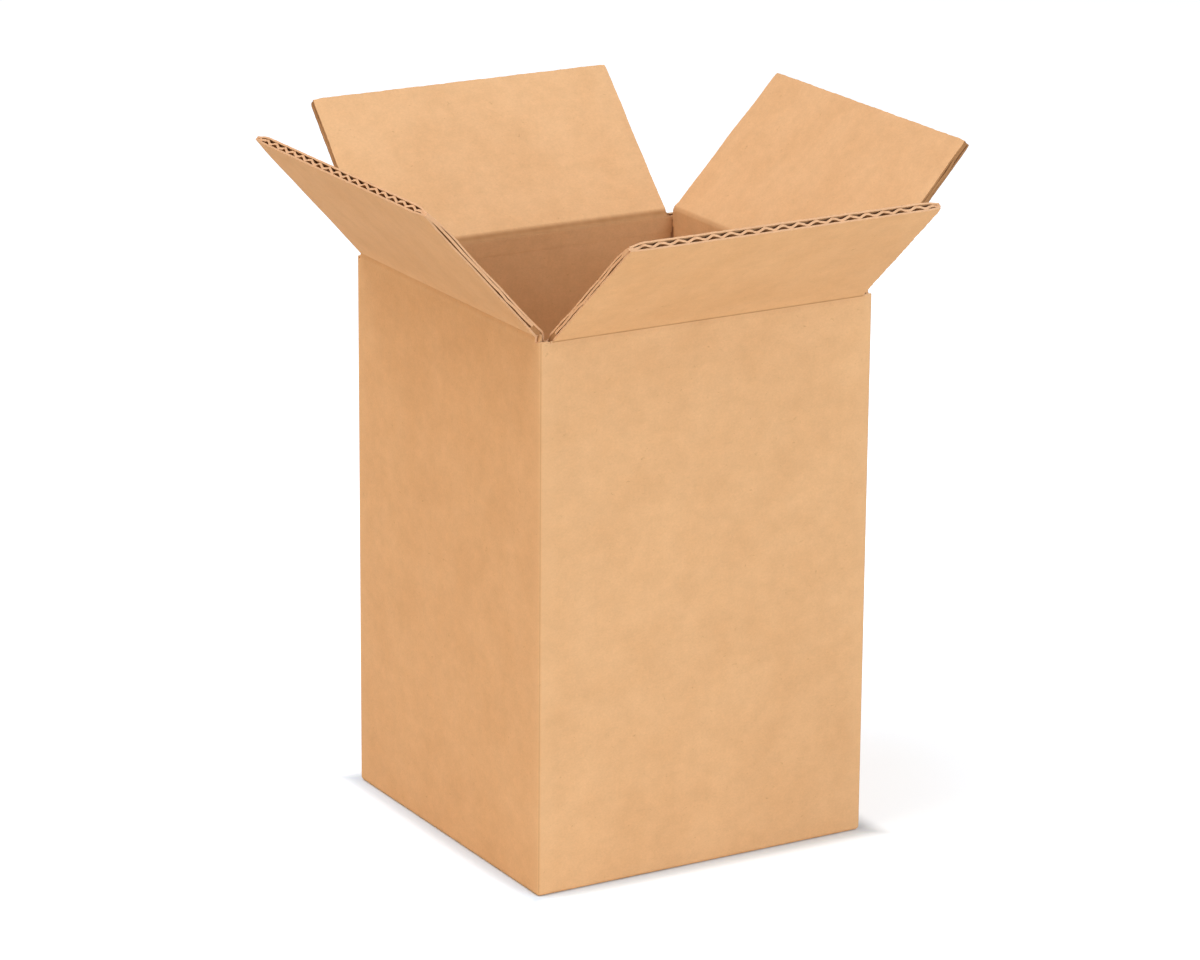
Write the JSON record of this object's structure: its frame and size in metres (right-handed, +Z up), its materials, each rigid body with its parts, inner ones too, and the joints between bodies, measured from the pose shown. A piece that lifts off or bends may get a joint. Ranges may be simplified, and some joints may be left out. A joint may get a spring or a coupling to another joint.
{
  "type": "corrugated shipping carton",
  "caption": "Tall square-base carton of single-wall corrugated board, bottom glued shut, with its top flaps folded open on their creases.",
  "frame": {"origin": "middle of the bottom, on the surface the carton stands on", "axes": "+Z up, X across the front wall from left to right, Y from the front wall to the back wall"},
  "size_m": [0.263, 0.2741, 0.3006],
  "materials": {
    "kraft_board": "matte"
  },
  "bodies": {
    "carton": {"carton": "kraft_board"},
    "flap_front": {"flap_front": "kraft_board"},
    "flap_back": {"flap_back": "kraft_board"},
    "flap_left": {"flap_left": "kraft_board"},
    "flap_right": {"flap_right": "kraft_board"}
  },
  "joints": [
    {"name": "fold_front", "type": "hinge", "parent": "carton", "child": "flap_front", "pos_m": [0, -0.07985, 0.24025], "axis": [1, 0, 0], "range_deg": [-139.2, 80.8]},
    {"name": "fold_back", "type": "hinge", "parent": "carton", "child": "flap_back", "pos_m": [0, 0.07985, 0.24025], "axis": [-1, 0, 0], "range_deg": [-135, 85]},
    {"name": "fold_left", "type": "hinge", "parent": "carton", "child": "flap_left", "pos_m": [-0.0782, 0, 0.2428], "axis": [0, -1, 0], "range_deg": [-132.2, 87.8]},
    {"name": "fold_right", "type": "hinge", "parent": "carton", "child": "flap_right", "pos_m": [0.0782, 0, 0.2428], "axis": [0, 1, 0], "range_deg": [-133.5, 86.5]}
  ]
}
